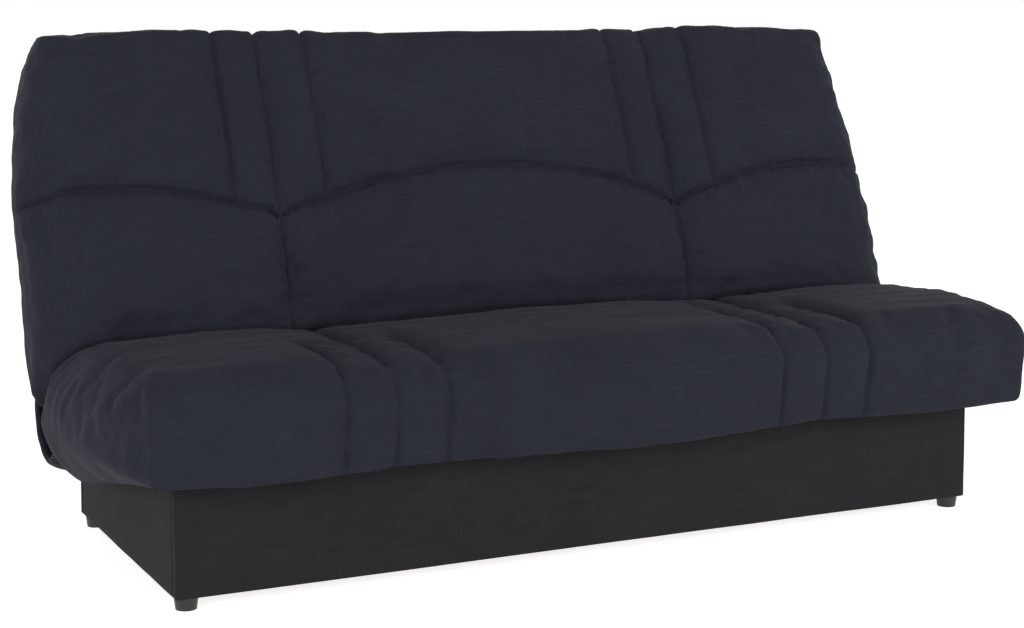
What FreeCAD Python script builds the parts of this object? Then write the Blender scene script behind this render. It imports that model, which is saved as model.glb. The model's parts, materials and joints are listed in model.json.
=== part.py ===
import FreeCAD, Part
import math
import os
import Sketcher

# Click clack sofa bed, drawn as a sofa. X runs along its length, -Y is the front and +Z is up.
# The origin lies on the floor under the middle of the whole sofa. All sizes are millimetres.
# The seat and the back are each drawn flat, in a frame whose origin is the hinge line between
# them: "u" runs away from the hinge along the section and "w" is the height over the hinge.

SIZES = (
    ("box_length", 1716, "storage box over its end panels"),
    ("box_depth", 674, "storage box over its front and rear panels"),
    ("box_middle", -24, "how far the middle of the box lies behind the origin"),
    ("box_rim", 245, "height of the rim of the box over the floor"),
    ("board", 18, "thickness of the upholstered panels"),
    ("foot_height", 23, "floor to underside of the panels"),
    ("foot_radius", 22, "foot at its top"),
    ("foot_taper", 3, "how much the foot narrows to the floor"),
    ("foot_inset", 26, "foot centre in from the corner of the box"),
    ("batten", 20, "square battens under the floor board"),
    ("floor_board", 5, "hardboard floor of the storage box"),
    ("foot_block", 62, "side of the block that takes a foot"),
    ("stud_radius", 4, "foot stud"),
    ("hinge_y", 137, "hinge line between seat and back"),
    ("hinge_z", 267, "height of the hinge line"),
    ("arm_y", 6.4, "axis of the swing arms"),
    ("arm_z", 112.6, "height of the axis of the swing arms"),
    ("lift_inset", 37, "axis on which the whole couch tips, in front of the rear panel"),
    ("lift_z", 150, "height of the axis on which the couch tips"),
    ("seat_tilt", 2.3, "degrees that the seat rises to the front"),
    ("back_angle", 67.5, "degrees between the back and the floor"),
    ("tube", 30, "square tube of the frames"),
    ("tube_wall", 1.5, "wall of the square tube"),
    ("frame_overhang", 27, "how far the frames reach past the box at each end"),
    ("near_tube", 55, "hinge line to the first long tube"),
    ("seat_reach", 605.1, "hinge line to the front of the seat"),
    ("back_reach", 748, "hinge line to the top of the back"),
    ("border", 47, "padding beyond the far tube"),
    ("plate", 4, "thickness of the arms of the mechanism"),
    ("heavy_plate", 5, "thickness of the swing arms and tipping plates"),
    ("side_gap", 0.5, "air between plates that turn past each other"),
    ("pivot_radius", 6, "pivot pins"),
    ("pivot_play", 0.3, "air round a pivot pin"),
    ("pin_head", 11, "radius of the rivet heads"),
    ("head_height", 2.5, "height of the rivet heads"),
    ("arm_width", 30, "width of the seat and back arms"),
    ("arm_length", 260, "hinge line to the far end of the seat and back arms"),
    ("swing_width", 40, "width of the swing arms"),
    ("tip_width", 44, "width of the tipping plates"),
    ("lever_lean", 8, "spring end in front of the axis of tipping"),
    ("bracket_spread", 28, "half of the bolt spacing of the tipping bracket"),
    ("bracket_shift", 31, "middle of those bolts in front of the axis of tipping"),
    ("bracket_margin", 14, "bolt to the edge of the bracket"),
    ("bush", 7, "room for the bush beside the bracket"),
    ("bush_radius", 11, "outside of the bush"),
    ("rest_length", 60, "rubber rest blocks on the rims"),
    ("rest_inset", 52, "middle of a rest block from the end panel, under the rails"),
    ("catch_height", 14, "rear rest blocks, which only catch the bed when it tips"),
    ("hinge_rise", 20, "how much the hinge line rises as the bed opens"),
    ("stop_width", 40, "rubber stops under the tipping plates"),
    ("stop_place", 70, "stop behind the origin"),
    ("stop_height", 16, "height of the rubber stops"),
    ("spring_drop", 78, "axis of tipping down to the spring"),
    ("spring_reach", 476, "length of the spring between its pins"),
    ("spring_radius", 9, "outside of the spring"),
    ("spring_wire", 2, "thickness of the spring wire"),
    ("peg", 5, "peg of the lever that takes the spring's eye"),
    ("ratchet_radius", 34, "ratchet disc"),
    ("notch_radius", 5.4, "notches of the ratchet disc"),
    ("notch_run", 5, "how far a notch opens towards the pawl pin"),
    ("nose_angle", -100, "notch that holds the bed, degrees round the hinge line"),
    ("pawl_angle", -75, "pawl pin, degrees round the hinge line"),
    ("pawl_reach", 58, "hinge line to the pawl pin"),
    ("pawl_width", 8.4, "width of a pawl"),
    ("pawl_lift", 13, "degrees that a pawl stands lifted off its disc"),
    ("pawl_pin", 3, "radius of the pawl pin"),
    ("lug_start", 34, "hinge line to the foot of the pawl lug"),
    ("lug_width", 16, "width of the pawl lug"),
    ("slat_count", 14, "sprung slats in each frame"),
    ("slat_width", 53, "width of a slat"),
    ("slat_thick", 8, "thickness of a slat"),
    ("slat_bow", 8, "rise of a slat at its middle"),
    ("cap_depth", 22, "slat cap along the slat"),
    ("cap_wall", 3, "wall of a slat cap"),
    ("bolt_radius", 4, "bolts of the mechanism"),
    ("bolt_grip", 14, "depth of a bolt in a panel"),
    ("bolt_near", 117, "hinge line to the first bolt of an arm"),
    ("bolt_far", 234, "hinge line to the second bolt of an arm"),
    ("bolt_head", 6.5, "radius of the bolt heads"),
    ("pad_overhang", 40, "how far the mattress reaches past the frames to its end seams"),
    ("pad_top", 130, "top of the mattress over the hinge line"),
    ("end_bulge", 66, "how far the ends swell past their seams"),
    ("crown", 12, "rise of the cushion from the fold to its far edge"),
    ("puff", 10, "rise of the cushion between its middle seams"),
    ("crease_reach", 60, "hinge line to the crown beside the fold"),
    ("belly_reach", 120, "hinge line to the lowest point of the hem"),
    ("belly_swell", 22, "how far the hem swells round the fold"),
    ("end_pull", 100, "how much lower the swollen end is at its middle"),
    ("pull_height", 22, "height that the ends shrink towards"),
    ("near_pull", 60, "how far the ends shrink beside the fold"),
    ("seat_pull", 300, "how far the end of the seat shrinks at its front"),
    ("back_pull", 420, "how far the end of the back shrinks at its top"),
    ("fold_gap", 11.4, "half of the gap that the folded strip fills"),
    ("left_seam", 479, "middle seam of the three on the left"),
    ("right_seam", 439, "middle seam of the three on the right"),
    ("seam_step", 98, "distance from the middle seam to its neighbours"),
    ("seam_width", 10, "width of a sewn channel"),
    ("seam_depth", 6, "depth of a sewn channel"),
    ("skirt_gap", 8, "air between the frame and the cover"),
    ("hem_drop", 50, "hem under the hinge line at the free ends"),
    ("belly_drop", 112, "hem under the hinge line beside the fold"),
    ("outrigger", 290, "hinge line to the crossbar that carries an edge tube"),
    ("front_round", 62, "rounding of the top front edge of the seat"),
    ("arch_top", 400, "hinge line to the arched seam of the back"),
    ("cover_base", 5, "cloth under the foam"),
    ("gusset_radius", 84, "cover round the outside of the fold"),
    ("hinge_room", 44, "radius kept free round the hinge line"),
    ("pad_skin", 22, "quilted cover round the foam"),
)

doc = FreeCAD.newDocument("click_clack_sofa_bed")
sheet = doc.addObject("Spreadsheet::Sheet", "sizes")
for row, (alias, value, meaning) in enumerate(SIZES, start=1):
    sheet.set("A%d" % row, alias)
    sheet.set("B%d" % row, str(value))
    sheet.set("C%d" % row, meaning)
    sheet.setAlias("B%d" % row, alias)
doc.recompute()


def size(alias):
    return float(sheet.get(alias))


def amount(formula):
    return float(sheet.evalExpression(formula.replace("sizes.", "")))


def vec(x, y, z):
    return FreeCAD.Vector(x, y, z)


ALONG_X = vec(1, 0, 0)
LYING = FreeCAD.Rotation(vec(0, 1, 0), 90)
SIDES = (("left", -1), ("right", 1))
PIECES = []


def turned(angle, y, z):
    return FreeCAD.Placement(vec(0, y, z), FreeCAD.Rotation(ALONG_X, angle))


SEAT_RAIL = ("(sizes.box_length / 2 - sizes.board - 4 * sizes.heavy_plate - sizes.bush"
             " - 2 * sizes.side_gap - sizes.plate)")
BACK_RAIL = ("(sizes.box_length / 2 - sizes.board - 4 * sizes.heavy_plate - sizes.bush"
             " - 3 * sizes.side_gap - 3 * sizes.plate)")
BASE = FreeCAD.Placement()
SEAT = turned(-size("seat_tilt"), size("hinge_y"), size("hinge_z"))
BACK = turned(size("back_angle"), size("hinge_y"), size("hinge_z"))
SEAT_WAY = -1
BACK_WAY = 1


def keep(piece, name):
    piece.Label = name
    PIECES.append(piece)
    return piece


def block(name, extents, corner, frame=BASE):
    solid = doc.addObject("Part::Box", name)
    for prop, formula in zip(("Length", "Width", "Height"), extents):
        solid.setExpression(prop, formula)
    solid.Placement = frame.multiply(FreeCAD.Placement(vec(*corner), FreeCAD.Rotation()))
    return solid


def rod(name, radius, length, start, frame=BASE):
    """Round bar along X from its left end."""
    solid = doc.addObject("Part::Cylinder", name)
    solid.setExpression("Radius", radius)
    solid.setExpression("Height", length)
    solid.Placement = frame.multiply(FreeCAD.Placement(vec(*start), LYING))
    return solid


def cut(name, base, *tools):
    result = base
    for count, tool in enumerate(tools):
        step = doc.addObject("Part::Cut", "%s_cut%d" % (name, count))
        step.Base = result
        step.Tool = tool
        result = step
    return result


def fuse(name, *shapes):
    joined = doc.addObject("Part::MultiFuse", name + "_joined")
    joined.Shapes = list(shapes)
    return joined


def feature(name, shape, frame=BASE):
    piece = doc.addObject("Part::Feature", name)
    piece.Shape = shape
    piece.Placement = frame
    return keep(piece, name)


def rule(sketch, *terms):
    return sketch.addConstraint(Sketcher.Constraint(*terms))


def bound(sketch, formula, *terms):
    index = rule(sketch, *terms)
    sketch.setExpression("Constraints[%d]" % index, formula)


def sketch_on(body, name, role):
    sketch = body.newObject("Sketcher::SketchObject", name)
    plane = [f for f in body.Origin.OriginFeatures if f.Role == role][0]
    sketch.AttachmentSupport = [(plane, "")]
    sketch.MapMode = "FlatFace"
    return sketch


# Storage box

LIFT_Y = "(sizes.box_middle + sizes.box_depth / 2 - sizes.board - sizes.lift_inset)"
box_end = size("box_length") / 2
box_front = size("box_middle") - size("box_depth") / 2
box_rear = size("box_middle") + size("box_depth") / 2
inner_end = box_end - size("board")
inner_front = box_front + size("board")
inner_rear = box_rear - size("board")
foot_top = size("foot_height")
frame_end = box_end + size("frame_overhang")
lift_line = (inner_rear - size("lift_inset"), size("lift_z"))
spring_rear = (lift_line[0] - size("lever_lean"), lift_line[1] - size("spring_drop"))
spring_front = (spring_rear[0] - size("spring_reach"), spring_rear[1])


def low_x(way, inner, outer):
    """Left face of a plate that lies between two distances from the middle."""
    return inner if way > 0 else -outer


def bracket_holes():
    """Four bolts round the axis on which the couch tips."""
    spread = size("bracket_spread")
    middle = lift_line[0] - size("bracket_shift")
    return [(middle + spread * side, lift_line[1] + spread * level)
            for side in (-1, 1) for level in (-1, 1)]


def panels():
    tall = "sizes.box_rim - sizes.foot_height"
    across = "sizes.box_depth - 2 * sizes.board"
    keep(block("base_front_panel", ("sizes.box_length", "sizes.board", tall),
               (-box_end, box_front, foot_top)), "base_front_panel")
    keep(block("base_rear_panel", ("sizes.box_length", "sizes.board", tall),
               (-box_end, inner_rear, foot_top)), "base_rear_panel")
    for side, way in SIDES:
        name = "base_end_panel_" + side
        blank = block(name + "_blank", ("sizes.board", across, tall),
                      (low_x(way, inner_end, box_end), inner_front, foot_top))
        start = low_x(way, inner_end, inner_end + size("bolt_grip"))
        drills = [rod("%s_drill%d" % (name, n), "sizes.bolt_radius", "sizes.bolt_grip", (start, y, z))
                  for n, (y, z) in enumerate(bracket_holes() + [spring_front])]
        keep(cut(name, blank, *drills), name)


def box_floor():
    reach = inner_end - size("foot_block")
    long_batten = "sizes.box_length - 2 * sizes.board - 2 * sizes.foot_block"
    battens = [block(name, (long_batten, "sizes.batten", "sizes.batten"), (-reach, y, foot_top))
               for name, y in (("batten_front", inner_front),
                               ("batten_rear", inner_rear - size("batten")))]
    across = "sizes.box_depth - 2 * sizes.board - 2 * sizes.batten"
    for name, x in (("batten_left", -reach / 2), ("batten_middle", 0), ("batten_right", reach / 2)):
        battens.append(block(name, ("sizes.batten", across, "sizes.batten"),
                             (x - size("batten") / 2, inner_front + size("batten"), foot_top)))
    ladder = doc.addObject("Part::Compound", "floor_battens")
    ladder.Links = battens
    keep(ladder, "floor_battens")
    keep(block("base_floor_board", ("sizes.box_length - 2 * sizes.board",
                                    "sizes.box_depth - 2 * sizes.board", "sizes.floor_board"),
               (-inner_end, inner_front, foot_top + size("batten"))), "base_floor_board")


def feet():
    """Turned feet, each with a stud in a block inside its corner of the box."""
    blocks = []
    for end, x_way in SIDES:
        for row, y_way in (("front", -1), ("rear", 1)):
            place = "%s_%s" % (row, end)
            x_block = inner_end - size("foot_block") if x_way > 0 else -inner_end
            y_block = inner_rear - size("foot_block") if y_way > 0 else inner_front
            blank = block("block_" + place, ("sizes.foot_block", "sizes.foot_block", "sizes.batten"),
                          (x_block, y_block, foot_top))
            x = x_way * (box_end - size("foot_inset"))
            y = size("box_middle") + y_way * (size("box_depth") / 2 - size("foot_inset"))
            hole = doc.addObject("Part::Cylinder", "stud_hole_" + place)
            hole.setExpression("Radius", "sizes.stud_radius")
            hole.setExpression("Height", "sizes.batten")
            hole.Placement = FreeCAD.Placement(vec(x, y, foot_top), FreeCAD.Rotation())
            blocks.append(cut("drilled_block_" + place, blank, hole))
            foot("foot_" + place, x, y)
    keep(fuse("foot_blocks", *blocks), "foot_blocks")


def foot(name, x, y):
    body = doc.addObject("PartDesign::Body", name)
    sketch = sketch_on(body, name + "_outline", "XZ_Plane")
    top = size("foot_height")
    broad = size("foot_radius")
    stud = size("stud_radius")
    tip = top + size("batten")
    toe = broad - size("foot_taper")
    points = [(0, 0), (toe, 0), (broad, top), (stud, top), (stud, tip), (0, tip)]
    for a, b in zip(points, points[1:] + points[:1]):
        sketch.addGeometry(Part.LineSegment(vec(a[0], a[1], 0), vec(b[0], b[1], 0)), False)
    for line in range(len(points)):
        rule(sketch, "Coincident", line, 2, (line + 1) % len(points), 1)
    rule(sketch, "Coincident", 0, 1, -1, 1)
    for line in (0, 2, 4):
        rule(sketch, "Horizontal", line)
    for line in (3, 5):
        rule(sketch, "Vertical", line)
    bound(sketch, "sizes.foot_radius - sizes.foot_taper", "DistanceX", -1, 1, 0, 2, toe)
    bound(sketch, "sizes.foot_radius", "DistanceX", -1, 1, 1, 2, broad)
    bound(sketch, "sizes.stud_radius", "DistanceX", -1, 1, 2, 2, stud)
    bound(sketch, "sizes.foot_height", "DistanceY", -1, 1, 1, 2, top)
    bound(sketch, "sizes.batten", "DistanceY", 3, 1, 3, 2, size("batten"))
    turn = body.newObject("PartDesign::Revolution", name + "_turned")
    turn.Profile = sketch
    turn.ReferenceAxis = (sketch, ["V_Axis"])
    turn.Angle = 360
    body.Placement = FreeCAD.Placement(vec(x, y, 0), FreeCAD.Rotation())
    keep(body, name)


def rest_pads():
    """Rubber blocks on the rims: the front ones carry the seat, the rear ones catch the bed."""
    tall = "sizes.hinge_rise + sizes.hinge_z - sizes.tube / 2 - sizes.box_rim - 2 * sizes.side_gap"
    rows = (("front_pad", box_front, tall), ("rear_pad", inner_rear, "sizes.catch_height"))
    blocks = [block(row + "_" + side, ("sizes.rest_length", "sizes.board", height),
                    (way * (inner_end - size("rest_inset")) - size("rest_length") / 2, y,
                     size("box_rim")))
              for row, y, height in rows for side, way in SIDES]
    keep(fuse("rest_pads", *blocks), "rest_pads")


# Mechanism: flat plates side by side at each end of the box, listed from the box inwards

bracket_in = inner_end - size("heavy_plate")
lever_out = bracket_in - size("bush")
lever_in = lever_out - size("heavy_plate")
tip_in = lever_in - size("heavy_plate")
swing_out = tip_in - size("side_gap")
swing_in = swing_out - size("heavy_plate")
seat_arm_out = swing_in - size("side_gap")
seat_arm_in = seat_arm_out - size("plate")
disc_in = seat_arm_in - size("plate")
back_arm_out = disc_in - size("side_gap")
back_arm_in = back_arm_out - size("plate")
arm_line = (size("arm_y"), size("arm_z"))
hinge_line = (size("hinge_y"), size("hinge_z"))


def upright(x, line, angle):
    """Place of a plate that stands across X, its length turned up from +Y by an angle."""
    turn = math.radians(angle)
    along = vec(0, math.cos(turn), math.sin(turn))
    across = vec(0, -math.sin(turn), math.cos(turn))
    return FreeCAD.Placement(vec(x, line[0], line[1]), FreeCAD.Rotation(along, across, ALONG_X, "XYZ"))


def link(name, length, width, thick, holes, place):
    """Flat bar with round ends: an eye at its origin and holes along its length."""
    body = doc.addObject("PartDesign::Body", name)
    sketch = sketch_on(body, name + "_outline", "XY_Plane")
    run = length[1]
    half = size(width) / 2
    quarter = math.pi / 2
    sketch.addGeometry(Part.ArcOfCircle(Part.Circle(vec(0, 0, 0), vec(0, 0, 1), half),
                                        quarter, 3 * quarter), False)
    sketch.addGeometry(Part.ArcOfCircle(Part.Circle(vec(run, 0, 0), vec(0, 0, 1), half),
                                        -quarter, quarter), False)
    sketch.addGeometry(Part.LineSegment(vec(0, half, 0), vec(run, half, 0)), False)
    sketch.addGeometry(Part.LineSegment(vec(0, -half, 0), vec(run, -half, 0)), False)
    rule(sketch, "Coincident", 0, 3, -1, 1)
    rule(sketch, "PointOnObject", 1, 3, -1)
    rule(sketch, "Tangent", 0, 1, 2, 1)
    rule(sketch, "Tangent", 2, 2, 1, 2)
    rule(sketch, "Tangent", 0, 2, 3, 1)
    rule(sketch, "Tangent", 3, 2, 1, 1)
    bound(sketch, "sizes.%s / 2" % width, "Radius", 0, half)
    bound(sketch, length[0], "DistanceX", 0, 3, 1, 3, run)
    pad = body.newObject("PartDesign::Pad", name + "_pad")
    pad.Profile = sketch
    pad.setExpression("Length", "sizes." + thick)
    drill = sketch_on(body, name + "_holes", "XY_Plane")
    for index, (spot, radius) in enumerate(holes):
        drill.addGeometry(Part.Circle(vec(spot[1], 0, 0), vec(0, 0, 1), radius[1]), False)
        bound(drill, radius[0], "Radius", index, radius[1])
        if spot[1] == 0:
            rule(drill, "Coincident", index, 3, -1, 1)
        else:
            rule(drill, "PointOnObject", index, 3, -1)
            bound(drill, spot[0], "DistanceX", -1, 1, index, 3, spot[1])
    pocket = body.newObject("PartDesign::Pocket", name + "_drilled")
    pocket.Profile = drill
    pocket.Type = "ThroughAll"
    pocket.Midplane = True
    body.Placement = place
    return body


ORIGIN_SPOT = ("0", 0)
FREE_EYE = ("sizes.pivot_radius + sizes.pivot_play", size("pivot_radius") + size("pivot_play"))
TIGHT_EYE = ("sizes.pivot_radius", size("pivot_radius"))
BOLT_HOLE = ("sizes.bolt_radius", size("bolt_radius"))
ARM_BOLTS = [(("sizes." + spot, size(spot)), BOLT_HOLE) for spot in ("bolt_near", "bolt_far")]


def span(a, b):
    return math.hypot(b[0] - a[0], b[1] - a[1])


def slope(a, b):
    return math.degrees(math.atan2(b[1] - a[1], b[0] - a[0]))


def brackets():
    for side, way in SIDES:
        x = low_x(way, bracket_in, inner_end)
        spread = size("bracket_spread")
        margin = size("bracket_margin")
        name = "tip_bracket_" + side
        corner = (x, lift_line[0] - size("bracket_shift") - spread - margin,
                  lift_line[1] - spread - margin)
        blank = block(name + "_blank", ("sizes.heavy_plate",
                                        "2 * sizes.bracket_spread + 2 * sizes.bracket_margin",
                                        "2 * sizes.bracket_spread + 2 * sizes.bracket_margin"), corner)
        drills = [rod("%s_drill%d" % (name, n), "sizes.bolt_radius", "sizes.heavy_plate", (x, y, z))
                  for n, (y, z) in enumerate(bracket_holes())]
        drills.append(rod(name + "_eye", "sizes.pivot_radius", "sizes.heavy_plate",
                          (x, lift_line[0], lift_line[1])))
        keep(cut(name, blank, *drills), name)


def pivot(name, reach, start, line, head_ends):
    """Rivet across the plates, with its heads outside them."""
    parts = [rod(name + "_shank", "sizes.pivot_radius", reach, (start, line[0], line[1]))]
    run = amount(reach)
    for end in head_ends:
        x = start - size("head_height") if end < 0 else start + run
        parts.append(rod("%s_head_%d" % (name, end + 1), "sizes.pin_head", "sizes.head_height",
                         (x, line[0], line[1])))
    return parts


def pins():
    """Rivets of the three axes at each end of the box."""
    gap = size("side_gap")
    groups = {"tip_pins": [], "swing_pins": [], "hinge_pins": []}
    for side, way in SIDES:
        groups["tip_pins"] += pivot("tip_pin_" + side, "3 * sizes.heavy_plate + sizes.bush + sizes.side_gap",
                                    low_x(way, tip_in - gap, inner_end), lift_line, [-way])
        groups["swing_pins"] += pivot("swing_pin_" + side, "2 * sizes.heavy_plate + 2 * sizes.side_gap",
                                      low_x(way, swing_in - gap, lever_in), arm_line, [-1, 1])
        groups["hinge_pins"] += pivot("hinge_pin_" + side,
                                      "3 * sizes.plate + sizes.heavy_plate + 3 * sizes.side_gap",
                                      low_x(way, back_arm_in - gap, swing_out), hinge_line, [-1, 1])
    for name, parts in groups.items():
        keep(fuse(name, *parts), name)


def bolts(name, spots, start, reach, head_ends, frame=BASE):
    """Hexagon bolts along X, with a head at their inner end or at both ends."""
    parts = []
    run = amount(reach)
    for n, (way, y, z) in enumerate(spots):
        x = low_x(way, start, start + run)
        parts.append(rod("%s_shank_%d" % (name, n), "sizes.bolt_radius", reach, (x, y, z), frame))
        for end in head_ends:
            head_x = x + run if end * way > 0 else x - size("head_height")
            head = doc.addObject("Part::Prism", "%s_head_%d_%d" % (name, n, end + 1))
            head.Polygon = 6
            head.setExpression("Circumradius", "sizes.bolt_head")
            head.setExpression("Height", "sizes.head_height")
            head.Placement = frame.multiply(FreeCAD.Placement(vec(head_x, y, z), LYING))
            parts.append(head)
    keep(fuse(name, *parts), name)


def base_fittings():
    spots = [(way, y, z) for _, way in SIDES for y, z in bracket_holes()]
    bolts("bracket_bolts", spots, bracket_in, "sizes.heavy_plate + sizes.bolt_grip", [-1])
    bushes = []
    anchors = []
    stops = []
    for side, way in SIDES:
        x = low_x(way, lever_out + size("side_gap"), bracket_in)
        ring = rod("bush_ring_" + side, "sizes.bush_radius", "sizes.bush - sizes.side_gap",
                   (x, lift_line[0], lift_line[1]))
        hole = rod("bush_hole_" + side, "sizes.pivot_radius", "sizes.bush - sizes.side_gap",
                   (x, lift_line[0], lift_line[1]))
        bushes.append(cut("bush_" + side, ring, hole))
        x = low_x(way, tip_in, inner_end + size("bolt_grip"))
        anchors.append(rod("anchor_" + side, "sizes.bolt_radius",
                           "3 * sizes.heavy_plate + sizes.bush + sizes.bolt_grip",
                           (x, spring_front[0], spring_front[1])))
        x = low_x(way, tip_in, inner_end)
        low_edge = (size("arm_z") + (size("stop_place") - size("arm_y")) * tip_rise
                    - size("tip_width") / 2 * math.hypot(1, tip_rise) - size("side_gap"))
        stops.append(block("stop_" + side, ("3 * sizes.heavy_plate + sizes.bush", "sizes.stop_width",
                                            "sizes.stop_height"),
                           (x, size("stop_place"), low_edge - size("stop_height"))))
    keep(fuse("tip_bushes", *bushes), "tip_bushes")
    keep(fuse("spring_anchors", *anchors), "spring_anchors")
    keep(fuse("tip_stops", *stops), "tip_stops")


tip_rise = (lift_line[1] - arm_line[1]) / (lift_line[0] - arm_line[0])


def moving_plates():
    tip_run = span(arm_line, lift_line)
    swing_run = span(arm_line, hinge_line)
    lever_run = span(lift_line, spring_rear)
    for side, way in SIDES:
        x = low_x(way, tip_in, lever_in)
        plate = link("tip_link_" + side, (TIP_RUN, tip_run), "tip_width", "heavy_plate",
             [(ORIGIN_SPOT, FREE_EYE), ((TIP_RUN, tip_run), TIGHT_EYE)],
             upright(x, lift_line, slope(lift_line, arm_line)))
        x = low_x(way, lever_in, lever_out)
        lever = link("tip_lever_" + side, (LEVER_RUN, lever_run), "arm_width", "heavy_plate",
             [(ORIGIN_SPOT, FREE_EYE)], upright(x, lift_line, slope(lift_line, spring_rear)))
        peg = rod("spring_peg_" + side, "sizes.bolt_radius", "sizes.heavy_plate + sizes.peg",
                  (low_x(way, lever_in, lever_out + size("peg")), spring_rear[0], spring_rear[1]))
        keep(fuse("tip_plate_" + side, plate, lever, peg), "tip_plate_" + side)
        x = low_x(way, swing_in, swing_out)
        name = "swing_arm_" + side
        keep(link(name, (SWING_RUN, swing_run), "swing_width", "heavy_plate",
                  [(ORIGIN_SPOT, FREE_EYE), ((SWING_RUN, swing_run), TIGHT_EYE)],
                  upright(x, arm_line, slope(arm_line, hinge_line))), name)


TIP_RUN = "sqrt((" + LIFT_Y + " - sizes.arm_y)^2 + (sizes.lift_z - sizes.arm_z)^2)"
SWING_RUN = "sqrt((sizes.hinge_y - sizes.arm_y)^2 + (sizes.hinge_z - sizes.arm_z)^2)"
LEVER_RUN = "sqrt(sizes.lever_lean^2 + sizes.spring_drop^2)"


def springs():
    """Long tension springs, each a closely wound tube with an eye at both ends."""
    wire = size("spring_wire")
    eye = size("bolt_radius") + size("pivot_play")
    coil = size("spring_radius")
    clear = size("arm_width") / 2 + 2 * wire
    for side, way in SIDES:
        x = way * (lever_out + wire)
        start = vec(x, spring_front[0] + clear, spring_front[1])
        run = size("spring_reach") - 2 * clear
        tube = Part.makeCylinder(coil, run, start, vec(0, 1, 0))
        bore = Part.makeCylinder(coil - wire, run - 2 * wire, start + vec(0, wire, 0), vec(0, 1, 0))
        rings = [Part.makeCylinder(eye + wire, wire, vec(x - wire / 2, y, z), ALONG_X)
                 for y, z in (spring_front, spring_rear)]
        holes = [Part.makeCylinder(eye, wire, vec(x - wire / 2, y, z), ALONG_X)
                 for y, z in (spring_front, spring_rear)]
        stems = [Part.makeBox(wire, clear - eye, wire, vec(x - wire / 2, y, spring_front[1] - wire / 2))
                 for y in (spring_front[0] + eye + wire / 2, spring_rear[0] - clear - wire / 2)]
        feature("tension_spring_" + side, tube.cut(bore).multiFuse(rings + stems).cut(holes))


# Frames, drawn flat; "way" tells which way u runs along the section's own Y

def flat_block(name, frame, way, extents, x, u, w):
    run = amount(extents[1])
    return block(name, extents, (x, u if way > 0 else -u - run, w), frame)


def tube_u(name, frame, way, length, x, u):
    """Square tube that runs away from the hinge."""
    half = size("tube") / 2
    wall = size("tube_wall")
    outer = flat_block(name + "_outer", frame, way, ("sizes.tube", length, "sizes.tube"), x, u, -half)
    bore = "sizes.tube - 2 * sizes.tube_wall"
    inner = flat_block(name + "_bore", frame, way, (bore, length, bore), x + wall, u, wall - half)
    return cut(name, outer, inner)


def tube_x(name, frame, way, length, x, u):
    """Square tube that runs along the sofa."""
    half = size("tube") / 2
    wall = size("tube_wall")
    outer = flat_block(name + "_outer", frame, way, (length, "sizes.tube", "sizes.tube"), x, u, -half)
    bore = "sizes.tube - 2 * sizes.tube_wall"
    inner = flat_block(name + "_bore", frame, way, (length, bore, bore), x, u + wall, wall - half)
    return cut(name, outer, inner)


def bed_frame(part, frame, way, reach, rail_out, rail_formula):
    """Two long tubes, and at each end a rail, an edge tube and the crossbar between them."""
    tube = size("tube")
    near = size("near_tube")
    far = size(reach) - size("border") - tube
    inner_u = near + tube
    rail_in = rail_out - tube
    keep(tube_x(part + "_near_tube", frame, way, "2 * (%s - sizes.tube)" % rail_formula,
                -rail_in, near), part + "_near_tube")
    keep(tube_x(part + "_far_tube", frame, way, "sizes.box_length + 2 * sizes.frame_overhang",
                -frame_end, far), part + "_far_tube")
    run = "sizes.%s - sizes.border - 2 * sizes.tube - sizes.near_tube" % reach
    bolt_spots = [size("bolt_near"), size("bolt_far")]
    for side, sign in SIDES:
        name = "%s_side_%s" % (part, side)
        rail = tube_u(name + "_rail", frame, way, run + " + sizes.tube",
                      low_x(sign, rail_in, rail_out), near)
        edge_in = frame_end - tube
        edge = tube_u(name + "_edge", frame, way, run + " + sizes.tube",
                      low_x(sign, edge_in, edge_in + tube), near)
        cross_run = "sizes.box_length / 2 + sizes.frame_overhang - sizes.tube - %s" % rail_formula
        cross = tube_x(name + "_cross", frame, way, cross_run,
                       low_x(sign, rail_out, edge_in), size("outrigger"))
        drills = [rod("%s_drill_%d" % (name, n), "sizes.bolt_radius", "sizes.tube",
                      (low_x(sign, rail_in, rail_out), way * u, 0), frame)
                  for n, u in enumerate(bolt_spots)]
        keep(fuse(name, cut(name + "_rail_drilled", rail, *drills), edge, cross), name)
    slats(part, frame, way, inner_u, far, rail_in)
    spots = [(sign, way * u, 0) for _, sign in SIDES for u in bolt_spots]
    bolts(part + "_bolts", spots, rail_in, "sizes.tube + sizes.plate", [-1, 1], frame)


def slats(part, frame, way, start, end, rail_in):
    """Bowed beech slats in plastic caps on the long tubes."""
    half = size("slat_thick") / 2
    wide = size("slat_width")
    wall = size("cap_wall")
    count = int(size("slat_count"))
    pitch = (2 * rail_in - wide) / (count + 1)
    middle = (start + end) / 2
    bow = size("slat_bow")
    run = end - start
    slat_solids = []
    cap_solids = []
    for n in range(count):
        x = (n - (count - 1) / 2) * pitch - wide / 2
        sweep = [Part.Arc(vec(x, way * start, w), vec(x, way * middle, w + bow),
                          vec(x, way * end, w)).toShape() for w in (-half, half)]
        ends = [Part.makeLine(vec(x, way * u, -half), vec(x, way * u, half)) for u in (start, end)]
        edges = Part.sortEdges([sweep[0], ends[1], sweep[1], ends[0]])[0]
        slat = Part.Face(Part.Wire(edges)).extrude(vec(wide, 0, 0))
        slat_solids.append(slat)
        tall = 2 * half + 2 * wall + 4 * bow * size("cap_depth") / run
        for u in (start, end - size("cap_depth")):
            y = u if way > 0 else -u - size("cap_depth")
            shell = Part.makeBox(wide + 2 * wall, size("cap_depth"), tall,
                                 vec(x - wall, y, -half - wall))
            cap_solids.append(shell.cut(slat))
    feature(part + "_slats", Part.makeCompound(slat_solids), frame)
    feature(part + "_slat_caps", Part.makeCompound(cap_solids), frame)


full_fold = size("seat_tilt") + size("back_angle")


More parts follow.
